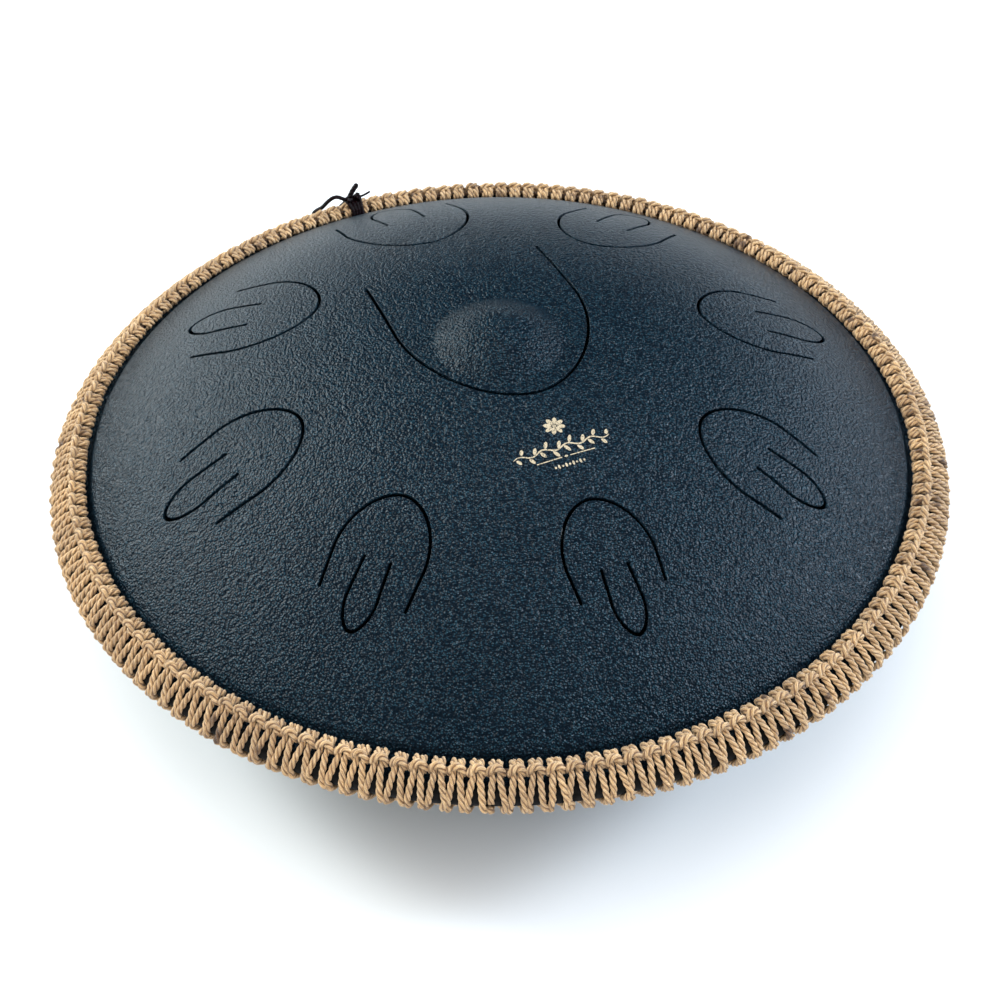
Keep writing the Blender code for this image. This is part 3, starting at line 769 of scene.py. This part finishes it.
def lacing_route():
    """The twine's whole route as (azimuth, radius, height, thickness, tone), knot after knot.

    From an upper knot it goes down over the rim's nose to the lower knot half a unit further on,
    and up again to the next upper knot, to lie behind the strand that comes down from it.
    """
    pitch = math.tau / UNITS
    rows = []
    for i in range(2 * UNITS):
        upper = i % 2 == 0
        half = KNOT.copy()
        if not upper:
            half[:4, 0] = LOWER_LEG
        s, r, z, thick = np.concatenate([half, (half * (-1, 1, 1, 1))[-2::-1]]).T.copy()
        knot = slice(4, -4)
        if upper:
            s[:4] += LEG_SWAY * RNG.normal(0, UNEVEN_LEG)
            s[-4:] += LEG_SWAY[::-1] * RNG.normal(0, UNEVEN_LEG)
        r[:3] -= LEG_BEHIND
        azimuth = math.degrees(math.tau * i / (2 * UNITS)) + FIRST_KNOT
        loose = max(0.0, math.cos(math.radians(azimuth - LOOSEST)))
        slack = 0.5 + 0.6 * math.cos(math.radians(azimuth - SLACKEST)) + 0.4 * loose ** 2
        for ends in (slice(0, 3), slice(-1, -4, -1)):
            r[ends] += LEG_BULGE[:, 0] * slack
            z[ends] += LEG_BULGE[:, 1] * slack
        tilt = RNG.normal(0, UNEVEN_TILT)
        r[BAR] += tilt * s[BAR]
        z[BAR] -= tilt * s[BAR]
        s += RNG.normal(0, UNEVEN_PLACE) + (z - CORE_Z) * RNG.normal(0, UNEVEN_LEAN)
        s[knot] *= 1 + RNG.normal(0, UNEVEN_WIDTH)
        swell = 1 + KNOT_SWELL * loose ** 2 + RNG.normal(0, UNEVEN_SWELL)
        r[knot] = CORE_R + (r[knot] - CORE_R) * swell + RNG.normal(0, UNEVEN_RADIUS)
        z[knot] = CORE_Z + (z[knot] - CORE_Z) * swell
        thick *= RNG.normal(1, UNEVEN_TWINE)
        tone = RNG.uniform(0.15, 0.85) + RNG.normal(0, 0.12, len(s))
        middle = math.radians(FIRST_KNOT) + i * pitch / 2
        side = 1 if upper else -1
        rows.append(np.stack([middle + s / CORE_R, r, side * z, thick, tone], axis=1))
        reach = NOSE_S + RNG.normal(0, UNEVEN_NOSE)
        if upper:
            a, r = middle + reach / CORE_R, NOSE_R
        else:
            a, r = middle + pitch / 2 - reach / CORE_R, NOSE_BEHIND_R
        rows.append(np.array([(a, r, RNG.normal(0, 0.1), 1.0, tone[-1])]))
    return np.concatenate(rows)


def lacing(finish):
    """The jute lacing as a few arcs of one continuous twine."""
    line = smooth_line(lacing_route(), 8)
    places = np.concatenate([round_the_axis(line), line[:, 3:]], axis=1)
    places = resampled(places, TWINE_STEP)
    points, radii, tone = places[:, :3], places[:, 3] * TWINE_R, places[:, 4]
    section = ply_section(3, 4, 0.48)
    rings, length = cord_rings(points, radii, TWINE_PITCH, section)
    pieces = []
    cuts = np.linspace(0, len(rings) - 1, LACING_ARCS + 1).astype(int)
    for i, (a, b) in enumerate(zip(cuts, cuts[1:]), 1):
        pieces.append(cord_object(f"jute_lacing_{i}", rings[a:b + 1], length[a:b + 1], section,
                                  TWINE_R, tone[a:b + 1], finish))
    return pieces


def core_rope(name, side, finish):
    """A core cord inside the lacing's knots, closed into a ring, with tone 0 so that the jute paints it
    dark as painted shade.
    """
    count = CORE_STEPS
    a = np.arange(count) * math.tau / count
    route = np.stack([a, np.full(count, CORE_R), np.full(count, side * CORE_Z)], axis=1)
    points = round_the_axis(route)
    section = ply_section(3, 3, 0.4)
    rings, length = cord_rings(points, np.full(count, CORE_CORD), CORE_PITCH, section)
    # Tone 0 everywhere: painted shade, as the core lies deep in the knots.
    return cord_object(name, rings, length, section, CORE_CORD, np.zeros(count), finish)


# Tie cord

def rim_points(route):
    """A route of (azimuth in degrees, radius, height above mid) as points."""
    route = np.array(route, float)
    route[:, 0] = np.radians(route[:, 0])
    return round_the_axis(route)


def tie_lashing(finish):
    """Four turns of cord lying side by side round the lacing, drawn together at the steel."""
    outline = mirrored(LASHING)
    pieces = []
    for i in range(TIE_TURNS):
        s = (i - (TIE_TURNS - 1) / 2) * TIE_SPREAD
        steel_side = np.clip((187.0 - outline[:, 0]) / 5, 0, 1)
        along = s * (1 - (1 - TIE_PINCH) * steel_side)
        azimuth = math.radians(TIE_AZIMUTH) + along / outline[:, 0]
        route = np.stack([azimuth, outline[:, 0], outline[:, 1]], axis=1)
        piece, _ = cord(f"turn_{i}", round_the_axis(route), TIE_CORD_R, finish, TIE_PITCH,
                        ply_section(3, 4, 0.4), 0.55)
        pieces.append(piece)
    return joined("tie_lashing_turns", pieces)


def tie_knot(finish):
    """The knot on top of the lashing: a cord wound over and under itself."""
    t = np.linspace(0, math.tau, 60)
    along = 3.2 * np.sin(t) + 0.5 * np.sin(3 * t)
    across = 1.9 * np.sin(2 * t + 0.4)
    high = 0.75 * np.cos(3 * t)
    azimuth = math.radians(TIE_AZIMUTH) + along / CORE_R
    route = np.stack([azimuth, TIE_KNOT_R + across, TIE_KNOT_Z + high], axis=1)
    piece, _ = cord("tie_reef_knot", round_the_axis(route), TIE_CORD_R, finish, TIE_PITCH,
                    ply_section(3, 4, 0.4), 0.5)
    return piece


def tie_end(name, route, diameter, finish):
    radius = diameter / 2
    return cord(name, rim_points(route), radius, finish, 2.1 * diameter, ply_section(3, 4, 0.3), 0.45)


# Feet

def foot_frame(i):
    """A frame on the lower shell's outer face, in metres: Z square to the wall, into the drum."""
    azimuth = math.radians(FOOT_AZIMUTH + 360 / FOOT_COUNT * i)
    lean = math.atan(crown_slope(FOOT_RING_R))
    place = Vector((FOOT_RING_R, 0, MID_Z - crown_z(FOOT_RING_R))) * MM
    return (Matrix.Rotation(azimuth, 4, "Z") @ Matrix.Translation(place)
            @ Matrix.Rotation(-lean, 4, "Y"))


def rubber_foot(i, finish):
    """A bumper with rounded edges and a screw recess, its sole cut level with the floor."""
    top = -GAP - CURVE_CLEARANCE
    matrix = foot_frame(i)
    steps, edge = FOOT_STEPS, FOOT_EDGE
    # (radius, share of the way from the top face to the floor, millimetres back from the floor)
    profile = [(RECESS_R, 1, 0.6), (RECESS_R + 0.6, 1, 0)]
    profile += [(FOOT_SOLE_R - edge, 1, 0)]
    for a in np.radians((30, 60, 90)):
        profile.append((FOOT_SOLE_R - edge + edge * math.sin(a), 1, edge * (1 - math.cos(a))))
    profile += [(FOOT_SOLE_R + 0.5, 0.5, 0), (FOOT_TOP_R, 0, -0.9), (FOOT_TOP_R - 0.3, 0, -0.3),
                (FOOT_TOP_R - 0.9, 0, 0), (SCREW_HOLE_R, 0, 0)]
    down = matrix.to_3x3() @ Vector((0, 0, -1))
    verts = []
    for radius, share, back in profile:
        for k in range(steps):
            a = math.tau * k / steps
            start = matrix @ (Vector((radius * math.cos(a), radius * math.sin(a), top)) * MM)
            reach = -start.z / down.z
            verts.append((start + down * (reach * share - back * MM)) / MM)
    recess = top - FOOT_GRIP
    for radius, height in ((SCREW_HOLE_R, recess), (RECESS_R, recess)):
        for k in range(steps):
            a = math.tau * k / steps
            start = Vector((radius * math.cos(a), radius * math.sin(a), height)) * MM
            verts.append((matrix @ start) / MM)
    ob = mesh_object(f"rubber_foot_{i + 1}", [tuple(v) for v in verts],
                     grid_faces(len(profile) + 2, steps, True), finish)
    welded(ob)
    ob.data.set_sharp_from_angle(angle=math.radians(50))
    return ob


def fasteners(i, finish):
    """A pan-head screw with a cross recess, its washer and its nut."""
    matrix = foot_frame(i)
    head = -GAP - CURVE_CLEARANCE - FOOT_GRIP - GAP
    washer = SHEET + GAP + CURVE_CLEARANCE
    nut = washer + WASHER_H + GAP
    tip = nut + NUT_H + 1
    profile = [(0, tip), (SCREW_R - 0.5, tip), (SCREW_R - 0.1, tip - 0.5)]
    for k in range(int((tip - 1 - head - 3) / THREAD)):
        z = tip - 0.7 - k * THREAD
        profile += [(SCREW_R, z), (SCREW_R - THREAD / 2, z - THREAD / 2)]
    profile += [(SCREW_R, head + 1.5), (SCREW_R, head), (HEAD_R - 0.3, head), (HEAD_R, head - 0.3),
                (HEAD_R, head - HEAD_SIDE)]
    for a in np.radians((15, 30, 45, 60, 75, 90)):
        crown = (HEAD_H - HEAD_SIDE) * math.sin(a)
        profile.append((HEAD_R * math.cos(a), head - HEAD_SIDE - crown))
    screw = turned(f"pan_head_screw_{i + 1}", profile, finish, FASTENER_STEPS, False, 40, lift=0)
    cutter_bm = bmesh.new()
    for angle in (0, 90):
        made = bmesh.ops.create_cube(cutter_bm, size=MM)["verts"]
        bmesh.ops.scale(cutter_bm, vec=CROSS, verts=made)
        bmesh.ops.rotate(cutter_bm, verts=made, matrix=Matrix.Rotation(math.radians(angle), 3, "Z"))
    mesh = bpy.data.meshes.new("cross")
    cutter_bm.to_mesh(mesh)
    cutter_bm.free()
    cutter = bpy.data.objects.new("cross", mesh)
    bpy.context.scene.collection.objects.link(cutter)
    cutter.location.z = (head - HEAD_H - 0.1) * MM
    cut = screw.modifiers.new("Cross", "BOOLEAN")
    cut.object, cut.operation, cut.use_self = cutter, "DIFFERENCE", True
    applied(screw)
    bpy.data.objects.remove(cutter)
    flat = 0.15
    ring = turned(f"steel_washer_{i + 1}", [
        (SCREW_HOLE_R, washer + flat), (SCREW_HOLE_R, washer + WASHER_H - flat),
        (SCREW_HOLE_R + flat, washer + WASHER_H), (WASHER_R - flat, washer + WASHER_H),
        (WASHER_R, washer + WASHER_H - flat), (WASHER_R, washer + flat), (WASHER_R - flat, washer),
        (SCREW_HOLE_R + flat, washer)], finish, FASTENER_STEPS, sharp=60, lift=0)
    hexagon = turned(f"hex_nut_{i + 1}", [
        (SCREW_R + 0.1, nut), (SCREW_R + 0.1, nut + NUT_H), (NUT_R, nut + NUT_H), (NUT_R, nut)],
        finish, 6, sharp=20, lift=0)
    bevel = hexagon.modifiers.new("Bevel", "BEVEL")
    bevel.width, bevel.segments = 0.25 * MM, 2
    applied(hexagon)
    pieces = [screw, ring, hexagon]
    for piece in pieces:
        piece.data.transform(matrix)
    return pieces


def applied(ob):
    """Write what the object's modifiers make into its mesh."""
    depsgraph = bpy.context.evaluated_depsgraph_get()
    mesh = bpy.data.meshes.new_from_object(ob.evaluated_get(depsgraph))
    ob.modifiers.clear()
    ob.data = mesh
    mesh.name = ob.name


# Camera, light and floor

CAMERA_AIM = Vector((0.25, -25.75, MID_Z - 7.2))
CAMERA_ELEVATION, CAMERA_ROLL, CAMERA_DISTANCE = 44.35, -0.18, 818.86
CAMERA_LENS, CAMERA_SENSOR = 66.52, 36.0
FLOOR_HALF, FLOOR_Z = 6000, -0.2


def camera():
    data = bpy.data.cameras.new("camera")
    data.lens, data.sensor_width = CAMERA_LENS, CAMERA_SENSOR
    data.clip_start = 0.05
    ob = bpy.data.objects.new("camera", data)
    bpy.context.scene.collection.objects.link(ob)
    e = math.radians(CAMERA_ELEVATION)
    back = Vector((0, -math.cos(e), math.sin(e)))
    right = Vector((1, 0, 0))
    up = back.cross(right)
    roll = math.radians(CAMERA_ROLL)
    rolled_right = right * math.cos(roll) + up * math.sin(roll)
    rolled_up = up * math.cos(roll) - right * math.sin(roll)
    axes = Matrix((rolled_right, rolled_up, back)).transposed().to_4x4()
    ob.matrix_world = Matrix.Translation((CAMERA_AIM + back * CAMERA_DISTANCE) * MM) @ axes
    bpy.context.scene.camera = ob


def softbox(name, place, aim, size, power, colour=(1, 1, 1), glossy=True):
    data = bpy.data.lights.new(name, "AREA")
    data.shape = "RECTANGLE"
    data.size, data.size_y = size
    data.energy = power
    data.color = colour
    ob = bpy.data.objects.new(name, data)
    bpy.context.scene.collection.objects.link(ob)
    ob.location = place
    ob.rotation_euler = (Vector(aim) - Vector(place)).to_track_quat("-Z", "Y").to_euler()
    ob.visible_glossy = glossy
    return ob


def studio():
    drum = (0, 0, 0.1)
    softbox("top_light", (0, -0.3, 1.6), drum, (1.8, 1.8), 31, glossy=False)
    softbox("front_light", (0, -2.1, 0.8), drum, (2.6, 1.2), 26, (1.0, 0.99, 0.97), False)
    softbox("left_light", (-1.6, 1.2, 0.65), drum, (1.4, 0.8), 44, (0.86, 0.97, 1.0))
    softbox("high_left_light", (-1.6, 0.35, 1.45), drum, (0.6, 0.6), 34, (0.90, 0.99, 1.0))
    softbox("right_light", (1.8, 0.6, 0.75), drum, (0.8, 0.6), 40, (0.70, 0.84, 1.0))
    softbox("high_right_light", (1.7, 0.1, 1.25), drum, (0.5, 0.5), 25, (0.74, 0.87, 1.0))
    world = bpy.data.worlds.new("studio")
    world.use_nodes = True
    background = world.node_tree.nodes["Background"]
    background.inputs["Color"].default_value = (0.93, 0.96, 1.0, 1.0)
    background.inputs["Strength"].default_value = 0.04
    bpy.context.scene.world = world
    bpy.context.scene.view_settings.view_transform = "Standard"


def floor():
    material, nodes, links, shader = node_material("pale_floor")
    noise = add(nodes, "ShaderNodeTexNoise", Scale=6.0, Detail=3.0)
    where = add(nodes, "ShaderNodeTexCoord").outputs["Object"]
    links.new(where, noise.inputs["Vector"])
    colour = ramp(nodes, links, noise.outputs["Fac"],
                  ((0.3, (0.73, 0.73, 0.73)), (0.7, (0.75, 0.75, 0.75))))
    links.new(colour, shader.inputs["Base Color"])
    shader.inputs["Roughness"].default_value = 0.9
    corners = ((-1, -1), (1, -1), (1, 1), (-1, 1))
    verts = [(x * FLOOR_HALF, y * FLOOR_HALF, FLOOR_Z) for x, y in corners]
    return mesh_object("floor", verts, [(0, 1, 2, 3)], material)


# Everything together

def handed_over(piece, slot, *nodes):
    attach(piece, "root")
    if nodes:
        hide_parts(*nodes)
    return piece


def main():
    camera()
    studio()
    floor()

    coat, twine, leather = enamel(), jute(), tie_leather()
    # The rubber is painted darker than rubber's own black, as painted shade where the trim shows between
    # the rope's strands. The feet share this finish.
    rubber = speckled("black_rubber_darkened_as_shade", (0.004, 0.004, 0.004), (0.009, 0.009, 0.009), 900.0, 0.75, 0.00003,
                      specular=0.2)
    steel = speckled("plated_steel", (0.52, 0.52, 0.53), (0.66, 0.66, 0.66), 700.0, 0.3, 0.00001, 1.0)
    glue = speckled("rim_adhesive", (0.07, 0.07, 0.07), (0.12, 0.12, 0.12), 500.0, 0.5, 0.0001)

    handed_over(upper_shell(coat), "shell_enamel", "top_shell")
    handed_over(emblem(gold_ink()), "shell_enamel", "top_shell")
    handed_over(lower_shell(coat), "shell_enamel", "bottom_shell")
    handed_over(edge_trim(rubber), "rubber", "rim_trim")
    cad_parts["rim_adhesive"].data.materials.clear()
    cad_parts["rim_adhesive"].data.materials.append(glue)
    for piece in lacing(twine):
        handed_over(piece, "jute", "lacing_cord")
    handed_over(core_rope("upper_core_rope", 1, twine), "jute", "upper_core_cord")
    handed_over(core_rope("lower_core_rope", -1, twine), "jute", "lower_core_cord")
    handed_over(tie_lashing(leather), "tie_leather", "tie_lashing")
    handed_over(tie_knot(leather), "tie_leather", "tie_knot")
    long_end, line = tie_end("tie_long_tail", LONG_END, LONG_END_D, leather)
    handed_over(long_end, "tie_leather", "tie_end_long")
    handed_over(tie_end("tie_stub", SHORT_END, SHORT_END_D, leather)[0], "tie_leather", "tie_end_short")
    handed_over(tie_end("tie_thin_tail", THIN_END, THIN_END_D, leather)[0], "tie_leather", "tie_end_thin")
    for i in range(FOOT_COUNT):
        handed_over(rubber_foot(i, rubber), "rubber", f"foot_{i + 1}")
        screw, washer, nut = fasteners(i, steel)
        handed_over(screw, "fastener_steel", f"foot_screw_{i + 1}")
        handed_over(washer, "fastener_steel", f"foot_washer_{i + 1}")
        handed_over(nut, "fastener_steel", f"foot_nut_{i + 1}")


main()
